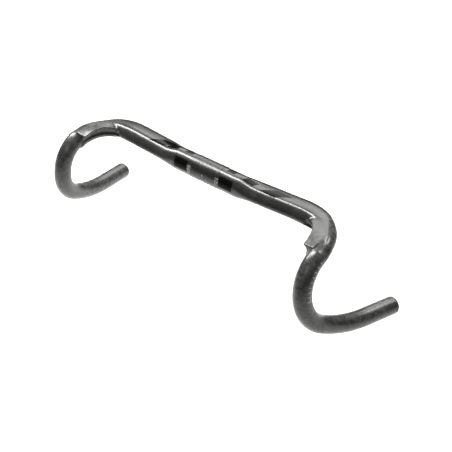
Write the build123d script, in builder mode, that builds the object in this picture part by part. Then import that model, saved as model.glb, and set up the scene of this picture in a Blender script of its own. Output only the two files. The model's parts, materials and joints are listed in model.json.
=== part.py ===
from build123d import *
import os
from math import cos, radians, sin, tan

# Compact drop handlebar in moulded carbon, bare: no stem, levers, tape or end plugs.
# Origin at the centre of the stem clamp zone. +X to the rider's right, +Y forwards, +Z up.
# Everything off centre is made for the right side and mirrored for the left.
# Millimetres and degrees.

# ---------------------------------------------------------------- driving dimensions
clamp_radius = 15.9            # outside of the grip coat that the stem closes on
grip_coat = 0.2                # thickness of that coat
grip_half_length = 24.0
bulge_radius = clamp_radius - grip_coat
bulge_half_length = 53.0       # the round zone, before it flattens into the tops
bulge_step = 0.05              # the flattening starts this much inside the round zone
overlap = 3.0                  # and overlaps it by this much
wall = 2.0                     # laminate thickness of the tops
liner_wall = 1.4               # reinforcing sleeve inside the clamp zone
liner_half_length = 48.0

backsweep = 4.0
joint_x = 128.0                # where the tops and the side mouldings are bonded
spigot_half_length = 16.0
spigot_wall = 1.6
bond_line = 0.3

corner_x, corner_y = 154.0, 44.0   # upright axis that the corner bends around

tube_radius = 12.0
bore_radius = 10.2
lever_bore_radius = 8.2        # thicker wall where the lever clamp grips
toe_in = 10.2                      # heading of the hook's plane, inwards towards the front
flare = 7.8                        # lean of that plane, outwards towards the bottom
hook_knee = (210.17, 73.00, -36.19)  # where the round tube's centre line enters that plane
hook_start = (208.5, 45.3, -7.9)   # first point of that centre line
knee_slope = 73.0                  # how steeply the tube points down at the knee
reach_radius, reach_turn = 54.0, 11.0
drop_radius, drop_turn = 57.0, 64.0
tail_radius, tail_turn = 185.0, 24.0
drop_end_length = 50.0

film = 0.08                        # printed films and the label
film_lift = 0.01                   # glue under them on the hooks
tick_width = 0.45

os.makedirs("parts", exist_ok=True)


# ---------------------------------------------------------------- frames
def corner_plane(angle):
    """Upright plane through the corner's axis: x is the distance from it, y is up."""
    outward = Vector(sin(radians(angle)), -cos(radians(angle)), 0)
    along = Vector(cos(radians(angle)), sin(radians(angle)), 0)
    return Plane(origin=(corner_x, corner_y, 0), x_dir=outward, z_dir=-along)


def wing_plane(x):
    """Upright plane across the tops at x: x is rearwards from the bar's line, y is up."""
    run = max(x - bulge_half_length, 0.0)
    turn = radians(backsweep) * min(1.0, run / 20.0)
    return Plane(
        origin=(x, -run * tan(radians(backsweep)), 0),
        x_dir=(-sin(turn), -cos(turn), 0),
        z_dir=(-cos(turn), sin(turn), 0),
    )


heading = Vector(-sin(radians(toe_in)), cos(radians(toe_in)), 0)
outboard = Vector(
    cos(radians(toe_in)) * cos(radians(flare)),
    sin(radians(toe_in)) * cos(radians(flare)),
    sin(radians(flare)),
)
hook_plane = Plane(origin=hook_knee, x_dir=heading, z_dir=outboard)


def slope(angle):
    """Direction in the hook's plane, angle below the horizontal."""
    return (cos(radians(angle)), -sin(radians(angle)))


def section_plane(line, at):
    """Plane across a line: x points outboard, y towards the outside of the hook."""
    return Plane(origin=line @ at, x_dir=outboard, z_dir=-(line % at))


# ---------------------------------------------------------------- outlines
def quarter(centre, reach, rise, power, first, last):
    """Points on a quarter of a rounded outline, angle measured from the reach axis."""
    points = []
    for step in range(6):
        angle = radians(first + (last - first) * step / 6)
        across = abs(cos(angle)) ** (2 / power) * reach
        up = abs(sin(angle)) ** (2 / power) * rise
        points.append((centre[0] + across, centre[1] + up))
    return points


def rounded(front, rear, crest, keel, powers, inset=0.0):
    """Closed outline through its front and rear noses, its crest and its keel.

    Each is (across, up). powers holds front top, rear top, rear bottom, front bottom:
    2 is an ellipse, more is squarer, less is flatter between its two ends.
    """
    f = (front[0] + inset, front[1])
    r = (rear[0] - inset, rear[1])
    c = (crest[0], crest[1] - inset)
    k = (keel[0], keel[1] + inset)
    points = quarter((c[0], r[1]), r[0] - c[0], c[1] - r[1], powers[1], 0, 90)
    points += quarter((c[0], f[1]), f[0] - c[0], c[1] - f[1], powers[0], 90, 180)
    points += quarter((k[0], f[1]), f[0] - k[0], k[1] - f[1], powers[3], 180, 270)
    points += quarter((k[0], r[1]), r[0] - k[0], k[1] - r[1], powers[2], 270, 360)
    return points


def mix(a, b, share):
    """Value, point or list part of the way from a to b."""
    if isinstance(a, (int, float)):
        return a + (b - a) * share
    return tuple(mix(p, q, share) for p, q in zip(a, b))


def disc(radius, across=0.0, up=0.0):
    """A circle in the terms of rounded()."""
    return (
        (across - radius, up),
        (across + radius, up),
        (across, up + radius),
        (across, up - radius),
        (2, 2, 2, 2),
    )


# front nose, rear nose, crest, keel, powers
bulge_form = disc(bulge_radius - bulge_step)
wing_form = ((-16.5, -1.0), (19.2, -0.2), (-5.0, 11.0), (0.5, -10.4), (1.55, 2.8, 2.1, 2.1))
# the same, measured from the corner's axis
corner_forms = {
    -4.0: ((34.0, -1.4), (70.0, -0.4), (45.4, 10.8), (51.0, -10.7), (1.55, 2.8, 2.1, 2.1)),
    14.0: ((35.5, -1.5), (69.2, -0.5), (47.5, 10.2), (51.5, -11.6), (1.7, 2.6, 2.1, 2.1)),
    30.0: ((39.5, -1.0), (67.8, -0.6), (50.5, 9.7), (53.0, -12.6), (2.0, 2.2, 2.0, 2.0)),
    46.0: ((42.2, -0.5), (66.7, -1.2), (52.4, 9.0), (54.0, -12.2), (2.0, 1.6, 2.0, 2.0)),
    62.0: ((42.5, -1.0), (66.0, -2.0), (53.4, 8.6), (54.3, -12.4), (2.0, 1.5, 2.0, 2.0)),
    78.0: ((42.8, -3.0), (66.0, -4.2), (53.6, 7.4), (54.4, -15.0), (2.0, 1.7, 2.0, 2.0)),
}

with BuildLine(hook_plane):
    reach_arc = JernArc((0, 0), slope(knee_slope), reach_radius, -reach_turn)
    drop_arc = JernArc(reach_arc @ 1, reach_arc % 1, drop_radius, -drop_turn)
    tail_arc = JernArc(drop_arc @ 1, drop_arc % 1, tail_radius, -tail_turn)
    end_run = Line(tail_arc @ 1, tail_arc @ 1 + (tail_arc % 1) * drop_end_length)
with BuildLine() as lead_line:
    TangentArc(hook_knee, hook_start, tangent=-(reach_arc % 0))
lead_arc = lead_line.edge().reversed()
hook_start_plane = section_plane(lead_arc, 0)

# ---------------------------------------------------------------- hollow form of one half
# distance along X: how far the round bulge has flattened into the wing
hollow_end = 146.0
flattening = {bulge_half_length - overlap: 0.0, bulge_half_length: 0.0, 61.0: 0.3, 72.0: 0.82}
flattening |= {x: 1.0 for x in (84.0, 97.0, 110.0, 123.0, 136.0)}
with BuildPart() as outside:
    for x, share in flattening.items():
        with BuildSketch(wing_plane(x)):
            with BuildLine():
                Spline(*rounded(*mix(bulge_form, wing_form, share)), periodic=True)
            make_face()
    for angle, form in corner_forms.items():
        with BuildSketch(corner_plane(angle)):
            with BuildLine():
                Spline(*rounded(*form), periodic=True)
            make_face()
    with BuildSketch(hook_start_plane):
        with BuildLine():
            Spline(*rounded(*disc(tube_radius)), periodic=True)
        make_face()
    loft()

# the tops' hollow follows the outside; round the corner it is a plain bore under the cable channels
with BuildPart() as tops_hollow:
    for x, share in (flattening | {hollow_end: 1.0}).items():
        with BuildSketch(wing_plane(x)):
            with BuildLine():
                Spline(*rounded(*mix(bulge_form, wing_form, share), inset=wall), periodic=True)
            make_face()
    loft()

corner_bore_radius = 7.0
# angle around the corner: distance from its axis, height
corner_bore_points = {
    0.0: (53.0, -0.4),
    20.0: (54.6, -1.2),
    38.0: (54.6, -2.5),
    56.0: (54.4, -3.4),
    74.0: (54.3, -5.0),
}
with BuildPart() as corner_bore:
    with BuildLine():
        bore_points = [corner_plane(turn).from_local_coords(at) for turn, at in corner_bore_points.items()]
        bore_line = Spline(*bore_points, hook_start, tangents=(Vector(1, 0, 0), lead_arc % 0))
    with BuildSketch(Plane(origin=bore_line @ 0, z_dir=bore_line % 0)):
        Circle(corner_bore_radius)
    sweep()

# ---------------------------------------------------------------- ledge over the inner cable channel
# angle around the corner: crown, ledge edge, lip, deepest point of the channel, rib, belly, keel
ledge_forms = {
    11.0: ((47.0, 9.2), (39.4, 4.6), (37.2, 2.8), (36.8, 0.0), (37.0, -4.0), (42.0, -9.0), (51.0, -10.8)),
    20.0: ((48.0, 9.3), (38.6, 5.8), (38.4, 3.4), (40.2, 0.0), (39.4, -4.6), (43.6, -10.6), (51.5, -11.8)),
    33.0: ((49.0, 9.2), (36.6, 7.4), (36.8, 4.4), (41.0, 0.4), (39.5, -5.0), (43.6, -11.4), (51.5, -12.2)),
    46.0: ((51.0, 9.0), (35.9, 8.4), (36.1, 5.2), (40.8, 1.0), (39.4, -5.0), (43.4, -11.2), (52.0, -11.9)),
    60.0: ((52.0, 8.8), (35.0, 8.2), (35.2, 5.2), (40.6, 0.8), (39.0, -5.4), (42.4, -11.4), (53.0, -12.0)),
    73.0: ((52.0, 8.3), (34.3, 6.8), (34.5, 3.8), (40.2, -0.4), (38.6, -6.2), (41.0, -12.0), (53.0, -13.6)),
    85.0: ((51.5, 6.8), (34.0, 4.5), (34.2, 1.8), (39.8, -2.4), (38.4, -7.4), (39.8, -12.6), (53.0, -16.0)),
    95.5: ((50.5, 4.6), (34.5, 2.6), (34.7, 0.2), (39.6, -4.4), (38.4, -8.8), (39.2, -13.4), (53.0, -19.0)),
}
channel_mouth = 6.0
lip_width, rib_width, lip_rise = 0.6, 0.5, 0.1   # material left at the channel's two edges

with BuildPart() as ledge:
    for angle, (crown, edge, lip, channel, rib, belly, keel) in ledge_forms.items():
        with BuildSketch(corner_plane(angle)):
            with BuildLine():
                Polyline(keel, crown, edge, lip, rib)
                ThreePointArc(rib, belly, keel)
            make_face()
    loft()
    # past the corner it only lies against the round tube
    with BuildSketch(hook_start_plane):
        Circle(tube_radius)
    sweep(path=lead_arc, mode=Mode.SUBTRACT)

with BuildPart() as cable_channel:
    for angle, (crown, edge, lip, channel, rib, belly, keel) in ledge_forms.items():
        with BuildSketch(corner_plane(angle)):
            with BuildLine():
                top = (lip[0] + lip_width, lip[1] + lip_rise)
                bottom = (rib[0] + rib_width, rib[1] + lip_rise)
                ThreePointArc(top, channel, bottom)
                Polyline(bottom, (rib[0] - channel_mouth, bottom[1]), (lip[0] - channel_mouth, top[1]), top)
            make_face()
    loft()

# ---------------------------------------------------------------- outer cable channel
groove_radius = 6.0
with BuildPart() as groove:
    with BuildLine():
        groove_path = ThreePointArc((204.8, 10.3, 13.0), (215.6, 34.0, 10.2), (223.5, 64.0, 3.5))
    with BuildSketch(Plane(origin=groove_path @ 0, z_dir=groove_path % 0)):
        Circle(groove_radius)
    sweep()

# ---------------------------------------------------------------- tops, with the clamp bulge
joint_plane = wing_plane(joint_x)
with BuildPart() as tops_moulding:
    add(outside.part)
    split(bisect_by=joint_plane, keep=Keep.TOP)
    add(tops_hollow.part, mode=Mode.SUBTRACT)
    with BuildSketch(Plane.YZ):
        Circle(bulge_radius)
        Circle(bulge_radius - wall, mode=Mode.SUBTRACT)
    extrude(amount=bulge_half_length)
    mirror(about=Plane.YZ)

# ---------------------------------------------------------------- side moulding: shoulder, hook, end
with BuildPart() as right_shoulder:
    add(outside.part)
    split(bisect_by=joint_plane, keep=Keep.BOTTOM)
    add(ledge.part)
    add(cable_channel.part, mode=Mode.SUBTRACT)
    add(groove.part, mode=Mode.SUBTRACT)
    add(tops_hollow.part, mode=Mode.SUBTRACT)
    add(corner_bore.part, mode=Mode.SUBTRACT)

with BuildPart() as right_hook:
    for arc, bore in (
        (lead_arc, lever_bore_radius), (reach_arc, lever_bore_radius),
        (drop_arc, bore_radius), (tail_arc, bore_radius),
    ):
        with BuildSketch(section_plane(arc, 0)):
            Circle(tube_radius)
            Circle(bore, mode=Mode.SUBTRACT)
        sweep(path=arc)
    add(groove.part, mode=Mode.SUBTRACT)

with BuildPart() as right_drop_end:
    with BuildSketch(section_plane(end_run, 0)):
        Circle(tube_radius)
        Circle(bore_radius, mode=Mode.SUBTRACT)
    sweep(path=end_run)

# ---------------------------------------------------------------- hidden inner pieces
with BuildPart() as clamp_liner:
    with BuildSketch(Plane.YZ.offset(-liner_half_length)):
        Circle(bulge_radius - wall)
        Circle(bulge_radius - wall - liner_wall, mode=Mode.SUBTRACT)
    extrude(amount=2 * liner_half_length)

with BuildPart() as right_spigot:
    with BuildSketch(wing_plane(joint_x - spigot_half_length)):
        with BuildLine():
            Spline(*rounded(*wing_form, inset=wall + bond_line), periodic=True)
        make_face()
        with BuildLine():
            Spline(*rounded(*wing_form, inset=wall + bond_line + spigot_wall), periodic=True)
        make_face(mode=Mode.SUBTRACT)
    extrude(amount=-2 * spigot_half_length)

with BuildPart() as clamp_grip_band:
    with BuildSketch(Plane.YZ.offset(-grip_half_length)):
        Circle(clamp_radius)
        Circle(bulge_radius, mode=Mode.SUBTRACT)
    extrude(amount=2 * grip_half_length)

# ---------------------------------------------------------------- printed scales and the film label
scale_start, scale_end = 21.0, 27.0    # the clamp scale runs over the edge of the grip coat
scale_ticks, scale_pitch, scale_first = 6, 8.6, -17.0
with BuildPart() as right_clamp_scale:
    for start, end, radius in (
        (scale_start, grip_half_length, clamp_radius),
        (grip_half_length, scale_end, bulge_radius),
    ):
        with BuildSketch(Plane.YZ.offset(start)):
            with PolarLocations(radius + film / 2, scale_ticks, scale_first, scale_ticks * scale_pitch):
                Rectangle(film, tick_width)
        extrude(amount=end - start)

mark_first, mark_pitch, mark_steps = 2.5, 4.0, 3   # degrees above straight ahead
mark_step_length = 1.2                             # the steps overlap into one upright line
with BuildPart() as centre_mark:
    with BuildSketch(Plane.YZ.offset(-tick_width / 2)):
        with PolarLocations(clamp_radius + film / 2, mark_steps, mark_first, mark_steps * mark_pitch):
            Rectangle(film, mark_step_length)
    extrude(amount=tick_width)


def film_sector(first, span):
    """Film on the tube, angles measured from outboard towards the outside of the hook."""
    with BuildSketch() as sector:
        with BuildLine():
            inner = CenterArc((0, 0), tube_radius + film_lift, first, span)
            outer = CenterArc((0, 0), tube_radius + film, first, span)
            Line(inner @ 0, outer @ 0)
            Line(inner @ 1, outer @ 1)
        make_face()
    return sector.sketch


lever_ticks, lever_pitch, first_tick = 9, 6.1, 6.6     # along the hook's centre line
tick_first, tick_last = -25.0, 10.0                    # degrees around the tube
spine_first, spine_last = -13.0, -11.0                 # the line across the ticks
print_gap = 0.3                                        # degrees left clear beside that line
tick_sectors = (
    film_sector(tick_first, spine_first - print_gap - tick_first),
    film_sector(spine_last + print_gap, tick_last - spine_last - print_gap),
)
spine_sector = film_sector(spine_first, spine_last - spine_first)
last_tick = first_tick + (lever_ticks - 1) * lever_pitch
with BuildPart() as lever_ticks_print:
    passed = 0.0
    for arc in (lead_arc, reach_arc, drop_arc):
        places = [first_tick + step * lever_pitch - passed for step in range(lever_ticks)]
        for place in (place for place in places if 0 < place < arc.length):
            with BuildSketch(section_plane(arc, place / arc.length)):
                add(tick_sectors)
            extrude(amount=tick_width)
        passed += arc.length
with BuildPart() as lever_spine_print:
    passed = 0.0
    for arc in (lead_arc, reach_arc, drop_arc):
        spine_from = max(0.0, first_tick - passed) / arc.length
        spine_to = min(1.0, (last_tick - passed) / arc.length)
        spine_run = arc.trim(spine_from, spine_to)
        with BuildSketch(section_plane(spine_run, 0)):
            add(spine_sector)
        sweep(path=spine_run)
        passed += arc.length
# the prints do not touch, so they are gathered without joining them
with BuildPart() as right_lever_scale:
    add([*lever_ticks_print.solids(), *lever_spine_print.solids()], mode=Mode.REPLACE)

label_first, label_span = 116.0, 132.0                 # degrees around the tube
label_overrun = 6.4                                    # how far it runs on past the drop's bend
# the label's cut corners: share of the bend and distance towards the outside of the hook
label_top_cut = ((-0.05, 3.4), (0.0, 5.6), (0.14, 10.8), (0.14, 13.0), (-0.05, 13.0))
label_tail_cut = ((1.15, 4.5), (1.0, 4.5), (0.82, 10.8), (0.82, 13.0), (1.15, 13.0))
label_inner_cut = ((1.15, -6.0), (1.1, -7.9), (0.98, -11.2), (0.98, -13.0), (1.15, -13.0))


def beside_drop(share, out):
    """Point in the hook's plane beside the drop's bend, in that plane's coordinates."""
    turn = radians(knee_slope + reach_turn + share * drop_turn)
    centre = hook_plane.to_local_coords(drop_arc.arc_center)
    return (
        centre.X + (drop_radius + out) * sin(turn),
        centre.Y + (drop_radius + out) * cos(turn),
    )


tail_share = label_overrun / tail_arc.length
label_sector = film_sector(label_first, label_span)
with BuildPart() as film_label:
    for arc in (drop_arc, tail_arc.trim(0, tail_share)):
        with BuildSketch(section_plane(arc, 0)):
            add(label_sector)
        sweep(path=arc)
    for cut in (label_top_cut, label_tail_cut, label_inner_cut):
        with BuildSketch(hook_plane):
            with BuildLine():
                Polyline(*(beside_drop(*corner) for corner in cut), close=True)
            make_face()
        extrude(amount=2 * tube_radius, both=True, mode=Mode.SUBTRACT)

# ---------------------------------------------------------------- every piece, right and left
pieces = {
    "tops_moulding": tops_moulding,
    "clamp_liner": clamp_liner,
    "clamp_grip_band": clamp_grip_band,
    "centre_mark": centre_mark,
    "film_label": film_label,
}
sided = {
    "shoulder": right_shoulder,
    "hook": right_hook,
    "drop_end": right_drop_end,
    "bond_spigot": right_spigot,
    "clamp_scale": right_clamp_scale,
    "lever_scale": right_lever_scale,
}
for name, right in sided.items():
    with BuildPart() as left:
        add(right.solids(), mode=Mode.REPLACE)
        mirror(about=Plane.YZ, mode=Mode.REPLACE)
    pieces["right_" + name] = right
    pieces["left_" + name] = left

for name, piece in pieces.items():
    piece.part.label = name
    export_step(piece.part, f"parts/{name}.step")
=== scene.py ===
import json
import math

import bpy
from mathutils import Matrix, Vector


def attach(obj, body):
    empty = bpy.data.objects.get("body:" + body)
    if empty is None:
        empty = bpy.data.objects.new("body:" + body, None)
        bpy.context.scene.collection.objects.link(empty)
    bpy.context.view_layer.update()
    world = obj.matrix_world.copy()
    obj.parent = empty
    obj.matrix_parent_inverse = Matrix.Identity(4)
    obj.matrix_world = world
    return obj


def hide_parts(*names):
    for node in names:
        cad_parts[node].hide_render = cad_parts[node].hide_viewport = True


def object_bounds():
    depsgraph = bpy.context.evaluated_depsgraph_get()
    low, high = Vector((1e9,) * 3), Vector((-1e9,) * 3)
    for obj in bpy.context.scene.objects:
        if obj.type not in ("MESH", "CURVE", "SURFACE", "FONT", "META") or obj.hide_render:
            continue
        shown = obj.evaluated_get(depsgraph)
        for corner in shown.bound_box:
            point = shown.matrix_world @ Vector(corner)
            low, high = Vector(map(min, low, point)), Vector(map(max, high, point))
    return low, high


# A bare drop handlebar in satin moulded carbon. Metres, row frame: origin at the centre of the
# clamp zone, +X the rider's right, +Y forwards, +Z up.
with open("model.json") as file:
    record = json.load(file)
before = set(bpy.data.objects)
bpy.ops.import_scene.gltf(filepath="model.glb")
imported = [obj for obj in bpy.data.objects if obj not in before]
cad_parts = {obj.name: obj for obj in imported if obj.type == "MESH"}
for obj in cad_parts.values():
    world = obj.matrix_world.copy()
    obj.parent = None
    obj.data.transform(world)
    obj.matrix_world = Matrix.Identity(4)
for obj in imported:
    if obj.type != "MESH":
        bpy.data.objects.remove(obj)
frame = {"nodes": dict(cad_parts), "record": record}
cad_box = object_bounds()
nodes = frame["nodes"]
MM = 0.001

SHELL_NODES = (
    "tops_moulding",
    "right_shoulder", "right_hook", "right_drop_end",
    "left_shoulder", "left_hook", "left_drop_end",
)
SHELL_VOXEL = 0.75 * MM
SHELL_SMOOTHING = 8
SHELL_PAINT = 0.10 * MM     # the skin sits this much inside, so that the printed films show

# Plain gloss panels on the satin tops, on both sides: from and to along the bar at the crest,
# how far they slant to the left per unit rearwards, from and to behind the crest.
CREST = 5.0 * MM
PANELS = (
    (83.0 * MM, 109.0 * MM, 1.4, 0.8 * MM, 15.0 * MM),
    (57.0 * MM, 74.0 * MM, 0.4, 2.0 * MM, 11.5 * MM),
    (30.0 * MM, 43.0 * MM, 0.25, 3.2 * MM, 9.5 * MM),
)
# and one on each side of the clamp's front: along the bar, in height, and ahead of its middle
FRONT_PANEL = (27.0 * MM, 50.0 * MM)
FRONT_PANEL_HEIGHT = (-3.0 * MM, 11.0 * MM)
FRONT_PANEL_AHEAD = 5.0 * MM
PANEL_FLOOR = 2.0 * MM      # the upper panels stop above this height

# distance along the bar over which the tops' finish becomes the drops' finish; the drops'
# lighter grey is partly painted light
DROPS_START, DROPS_FULL = 150.0 * MM, 205.0 * MM

# greys, linear: the darkest and lightest chips of each zone, the clouds and the gloss
TOPS_GREYS = (0.018, 0.030)
# the drops' greys are partly the laminate's own tone and partly painted light, lifted for the
# light the sideways-facing drops catch
DROPS_GREYS_AND_PAINTED_LIGHT = (0.030, 0.046)
CLOUD_GREY = 0.085
GLOSS_GREY = 0.004
GRIP_GREYS = (0.035, 0.012)
LAMINATE_GREYS = (0.012, 0.030)
INK_GREYS = (0.62, 0.80)
LABEL_GREYS = (0.052, 0.068)

# specular level and roughness of the satin and of the gloss panels
SATIN_SPECULAR, GLOSS_SPECULAR = 0.5, 0.06
TOPS_ROUGHNESS, DROPS_ROUGHNESS, GLOSS_ROUGHNESS = 0.235, 0.26, 0.09

# cells to the metre and depth of each texture
PATCH_CELLS, CLOUD_CELLS, CHIP_CELLS, LAMINATE_RELIEF = 150.0, 32.0, 900.0, 0.05 * MM
GRIT_CELLS, GRIT_WEAR_CELLS, GRIT_RELIEF = 1300.0, 120.0, 0.03 * MM
WEAVE_CELLS, WEAVE_WEAR_CELLS, WEAVE_RELIEF = 500.0, 300.0, 0.08 * MM
INK_CELLS, LABEL_CELLS, FLOOR_CELLS = 1500.0, 60.0, 3.0

# camera and studio
CAMERA_PLACE = (-0.7359, 0.7842, 0.6926)
CAMERA_TURN = (54.05, 1.007, -138.571)      # degrees
CAMERA_LENS, CAMERA_SENSOR = 78.35, 36.0
FLOOR_SIZE, FLOOR_DROP = 14.0, 0.30
FLOOR_GREYS = (0.93, 0.95)
HORIZON, CEILING = 0.03, 1.7                # how bright the room is at eye level and overhead
ROOM_RISE = (0.1, 0.7)                      # heights of the direction between the two
# soft boxes, all aimed at the bar: place, size, radiance
SOFT_BOXES = {
    "overhead": ((1.0, 0.02, 1.5), (0.30, 1.9), 38.0),
    "back": ((0.9, -1.6, 1.5), (1.8, 1.4), 4.2),
    "back_left": ((-0.5, -1.5, 1.8), (1.0, 0.9), 15.0),
    "front_fill": ((-0.6, 2.2, 2.2), (1.6, 1.2), 1.6),
}


# ---------------------------------------------------------------- node helpers
class Nodes:
    """A material's node tree, built from calls."""

    def __init__(self, name):
        self.material = bpy.data.materials.new(name)
        self.material.use_nodes = True
        self.tree = self.material.node_tree
        self.shader = self.tree.nodes["Principled BSDF"]
        self.coordinates = self.add("ShaderNodeTexCoord").outputs["Object"]

    def place(self):
        """The three coordinates, in metres."""
        split = self.add("ShaderNodeSeparateXYZ")
        self.link(self.coordinates, split.inputs[0])
        return split.outputs

    def add(self, kind, **settings):
        node = self.tree.nodes.new(kind)
        for key, value in settings.items():
            setattr(node, key, value)
        return node

    def link(self, source, target):
        self.tree.links.new(source, target)

    def feed(self, node, index, value):
        """Sets an input to a number or colour, or links a socket to it."""
        if isinstance(value, bpy.types.NodeSocket):
            self.link(value, node.inputs[index])
        else:
            node.inputs[index].default_value = value

    def math(self, operation, a, b=0.0, c=0.0):
        node = self.add("ShaderNodeMath", operation=operation)
        for index, value in enumerate((a, b, c)):
            self.feed(node, index, value)
        return node.outputs[0]

    def ramp(self, value, low, high, to_low=0.0, to_high=1.0):
        """value from low..high mapped smoothly to to_low..to_high, held outside."""
        node = self.add("ShaderNodeMapRange", clamp=True, interpolation_type="SMOOTHSTEP")
        for index, entry in enumerate((value, low, high, to_low, to_high)):
            self.feed(node, index, entry)
        return node.outputs[0]

    def window(self, value, low, high, edge=0.25 * MM):
        """1 between low and high, 0 outside."""
        rising = self.ramp(value, low - edge, low + edge)
        falling = self.ramp(value, high - edge, high + edge, 1.0, 0.0)
        return self.math("MULTIPLY", rising, falling)

    def noise(
        self, scale, detail=2.0, roughness=0.5, stretch=(1, 1, 1), distortion=0.0, offset=0.0
    ):
        """Noise with about scale cells to the metre."""
        mapping = self.add("ShaderNodeMapping")
        self.link(self.coordinates, mapping.inputs["Vector"])
        mapping.inputs["Scale"].default_value = stretch
        mapping.inputs["Location"].default_value = (offset, offset * 0.7, -offset)
        node = self.add("ShaderNodeTexNoise")
        self.link(mapping.outputs[0], node.inputs["Vector"])
        node.inputs["Scale"].default_value = scale
        node.inputs["Detail"].default_value = detail
        node.inputs["Roughness"].default_value = roughness
        node.inputs["Distortion"].default_value = distortion
        return node.outputs["Fac"]

    def mix(self, share, a, b):
        """Colour a where share is 0, b where it is 1."""
        node = self.add("ShaderNodeMix", data_type="RGBA")
        self.feed(node, 0, share)
        self.feed(node, 6, a)
        self.feed(node, 7, b)
        return node.outputs[2]

    def blend(self, share, a, b):
        """The same for numbers."""
        node = self.add("ShaderNodeMix", data_type="FLOAT")
        self.feed(node, 0, share)
        self.feed(node, 2, a)
        self.feed(node, 3, b)
        return node.outputs[0]

    def bump(self, height, distance):
        """Relief as deep as distance, as the shader's normal."""
        node = self.add("ShaderNodeBump")
        node.inputs["Strength"].default_value = 1.0
        node.inputs["Distance"].default_value = distance
        self.link(height, node.inputs["Height"])
        self.link(node.outputs[0], self.shader.inputs["Normal"])

    def set(self, **inputs):
        """Feeds the shader's inputs, with underscores for the spaces in their names."""
        for name, value in inputs.items():
            self.feed(self.shader, name.replace("_", " "), value)


def grey(value, tint=(1.0, 1.01, 0.94)):
    """A grey with the laminate's faint warm green, or another tint."""
    return (value * tint[0], value * tint[1], value * tint[2], 1.0)


def greys(pair):
    """The two ends of a mix, as colours."""
    return [grey(value) for value in pair]


# ---------------------------------------------------------------- materials
def carbon():
    """Satin laminate with the gloss panels on the tops."""
    m = Nodes("satin_carbon")
    x, y, z = m.place()
    along = m.math("ABSOLUTE", x)

    # bare satin laminate: darker and smoother on the tops, cloudy on the corners and drops; the
    # drops' lighter grey is partly painted light
    patches = m.noise(PATCH_CELLS, detail=5.0, roughness=0.68, distortion=0.5)
    clouds = m.noise(CLOUD_CELLS, offset=3.1)
    chips = m.noise(CHIP_CELLS, roughness=0.7, stretch=(0.35, 1.0, 1.0), offset=1.7)
    drops = m.ramp(along, DROPS_START, DROPS_FULL)
    mottle = m.math("MULTIPLY", m.ramp(patches, 0.34, 0.70), m.ramp(clouds, 0.3, 0.62))
    mottle = m.math("MULTIPLY", mottle, m.ramp(drops, 0.0, 1.0, 0.25, 1.0))
    tops_tone = m.mix(m.ramp(chips, 0.3, 0.7), *greys(TOPS_GREYS))
    # painted light in part: the drops' tone is lifted for the light their sideways faces catch
    drops_tone_and_painted_light = m.mix(m.ramp(chips, 0.3, 0.7), *greys(DROPS_GREYS_AND_PAINTED_LIGHT))
    base = m.mix(drops, tops_tone, drops_tone_and_painted_light)
    base = m.mix(mottle, base, grey(CLOUD_GREY))
    rough = m.ramp(drops, 0.0, 1.0, TOPS_ROUGHNESS, DROPS_ROUGHNESS)
    rough = m.math("ADD", rough, m.ramp(mottle, 0.0, 1.0, 0.0, 0.05))
    rough = m.math("ADD", rough, m.ramp(chips, 0.2, 0.8, -0.02, 0.03))

    # gloss panels
    behind = m.math("SUBTRACT", CREST, y)
    upper = m.ramp(z, PANEL_FLOOR, PANEL_FLOOR + 0.5 * MM)
    front = m.window(along, *FRONT_PANEL)
    gloss = m.math("MULTIPLY", front, m.window(z, *FRONT_PANEL_HEIGHT))
    gloss = m.math("MULTIPLY", gloss, m.ramp(y, FRONT_PANEL_AHEAD, FRONT_PANEL_AHEAD + 0.5 * MM))
    for first, last, slant, near, far in PANELS:
        place = m.math("ABSOLUTE", m.math("MULTIPLY_ADD", behind, slant, x))
        panel = m.math("MULTIPLY", m.window(place, first, last), m.window(behind, near, far))
        gloss = m.math("MAXIMUM", gloss, m.math("MULTIPLY", panel, upper))
    m.set(
        Base_Color=m.mix(gloss, base, grey(GLOSS_GREY)),
        Roughness=m.blend(gloss, rough, GLOSS_ROUGHNESS),
        Specular_IOR_Level=m.blend(gloss, SATIN_SPECULAR, GLOSS_SPECULAR),
    )
    relief = m.math("ADD", m.math("MULTIPLY", patches, 0.6), m.math("MULTIPLY", chips, 0.4))
    m.bump(relief, LAMINATE_RELIEF)
    return m.material


def grip():
    """Fine raised grit."""
    m = Nodes("grip_coat")
    cells = m.add("ShaderNodeTexVoronoi")
    m.link(m.coordinates, cells.inputs["Vector"])
    cells.inputs["Scale"].default_value = GRIT_CELLS
    grit = m.ramp(cells.outputs["Distance"], 0.1, 0.6)
    worn = m.noise(GRIT_WEAR_CELLS, detail=3.0)
    m.set(Base_Color=m.mix(grit, *greys(GRIP_GREYS)))
    m.set(Roughness=m.ramp(worn, 0.3, 0.7, 0.26, 0.34))
    m.bump(m.math("MULTIPLY", grit, -1.0), GRIT_RELIEF)
    return m.material


def raw_laminate():
    """Unpainted weave, on the hidden inner pieces."""
    m = Nodes("raw_carbon")
    weave = m.add("ShaderNodeTexChecker")
    m.link(m.coordinates, weave.inputs["Vector"])
    weave.inputs["Scale"].default_value = WEAVE_CELLS
    m.set(Base_Color=m.mix(weave.outputs["Fac"], *greys(LAMINATE_GREYS)))
    m.set(Roughness=m.ramp(m.noise(WEAVE_WEAR_CELLS), 0.3, 0.7, 0.45, 0.65))
    m.bump(weave.outputs["Fac"], WEAVE_RELIEF)
    return m.material


def print_ink():
    """Pale printed scales, slightly worn."""
    m = Nodes("print_grey")
    worn = m.noise(INK_CELLS)
    m.set(Base_Color=m.mix(m.ramp(worn, 0.35, 0.65), *greys(INK_GREYS)))
    m.set(Roughness=m.ramp(worn, 0.3, 0.7, 0.35, 0.5))
    return m.material


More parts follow.
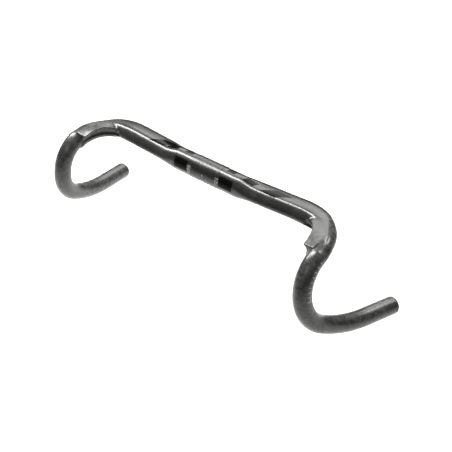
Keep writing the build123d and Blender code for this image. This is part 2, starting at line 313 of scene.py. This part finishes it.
def label_film():
    """The blank label."""
    m = Nodes("label_film")
    cloud = m.noise(LABEL_CELLS, offset=0.5)
    m.set(Base_Color=m.mix(m.ramp(cloud, 0.3, 0.7), *greys(LABEL_GREYS)))
    m.set(Roughness=m.ramp(cloud, 0.3, 0.7, 0.28, 0.36))
    return m.material


MATERIALS = {
    "satin_carbon": carbon(),
    "grip_coat": grip(),
    "raw_carbon": raw_laminate(),
    "print_grey": print_ink(),
    "label_film": label_film(),
}

slot_of = {part["node"]: part["material_slot"] for part in frame["record"]["subparts"]}
for name, node in nodes.items():
    node.data.materials.clear()
    node.data.materials.append(MATERIALS[slot_of[name]])
    node.data.shade_smooth()


# ---------------------------------------------------------------- one seamless painted shell
def carbon_shell():
    """The mouldings as one skin: edges eased, joints filled and painted over."""
    meshes = []
    for name in SHELL_NODES:
        piece = bpy.data.objects.new(name + "_skin", nodes[name].data.copy())
        bpy.context.scene.collection.objects.link(piece)
        meshes.append(piece)
    with bpy.context.temp_override(
        active_object=meshes[0],
        object=meshes[0],
        selected_editable_objects=meshes,
        selected_objects=meshes,
    ):
        bpy.ops.object.join()
    shell = meshes[0]
    shell.name = "carbon_shell"
    remesh = shell.modifiers.new("skin", "REMESH")
    remesh.mode = "VOXEL"
    remesh.voxel_size = SHELL_VOXEL
    remesh.use_smooth_shade = True
    smooth = shell.modifiers.new("ease", "CORRECTIVE_SMOOTH")
    smooth.iterations = SHELL_SMOOTHING
    smooth.use_only_smooth = True
    inwards = shell.modifiers.new("paint", "DISPLACE")
    inwards.strength = -SHELL_PAINT
    inwards.mid_level = 0.0
    return shell


shell = carbon_shell()
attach(shell, "root")
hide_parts(*SHELL_NODES)

# ---------------------------------------------------------------- floor, light and camera
floor_height = cad_box[0][2] - FLOOR_DROP
bpy.ops.mesh.primitive_plane_add(size=FLOOR_SIZE, location=(0.0, 0.0, floor_height))
floor = bpy.context.object
floor.name = "floor"
pale = Nodes("pale_floor")
tone = pale.noise(FLOOR_CELLS, detail=3.0)
darker, lighter = (grey(value, (1, 1, 1)) for value in FLOOR_GREYS)
pale.set(Base_Color=pale.mix(tone, darker, lighter))
pale.set(Roughness=pale.ramp(tone, 0.3, 0.7, 0.8, 0.9))
floor.data.materials.append(pale.material)

# the room is dark at eye level and bright overhead
world = bpy.data.worlds.new("studio")
bpy.context.scene.world = world
world.use_nodes = True
room = world.node_tree
direction = room.nodes.new("ShaderNodeTexCoord").outputs["Generated"]
height = room.nodes.new("ShaderNodeSeparateXYZ")
room.links.new(direction, height.inputs[0])
rise = room.nodes.new("ShaderNodeMapRange")
rise.interpolation_type = "SMOOTHSTEP"
for index, value in enumerate((*ROOM_RISE, HORIZON, CEILING), start=1):
    rise.inputs[index].default_value = value
room.links.new(height.outputs[2], rise.inputs[0])
room.links.new(rise.outputs[0], room.nodes["Background"].inputs["Strength"])


def soft_box(name, place, size, radiance):
    """A rectangular light aimed at the middle of the bar, as bright as radiance."""
    data = bpy.data.lights.new(name, "AREA")
    data.shape = "RECTANGLE"
    data.size, data.size_y = size
    data.energy = radiance * math.pi * size[0] * size[1]
    light = bpy.data.objects.new(name, data)
    bpy.context.scene.collection.objects.link(light)
    light.location = place
    light.rotation_euler = (-Vector(place)).to_track_quat("-Z", "Y").to_euler()


for name, (place, size, radiance) in SOFT_BOXES.items():
    soft_box(name, place, size, radiance)

camera_data = bpy.data.cameras.new("view")
camera_data.sensor_width = CAMERA_SENSOR
camera_data.lens = CAMERA_LENS
camera_data.clip_end = 50.0
camera = bpy.data.objects.new("view", camera_data)
bpy.context.scene.collection.objects.link(camera)
camera.location = CAMERA_PLACE
camera.rotation_euler = [math.radians(turn) for turn in CAMERA_TURN]
bpy.context.scene.camera = camera
bpy.context.scene.view_settings.view_transform = "Standard"
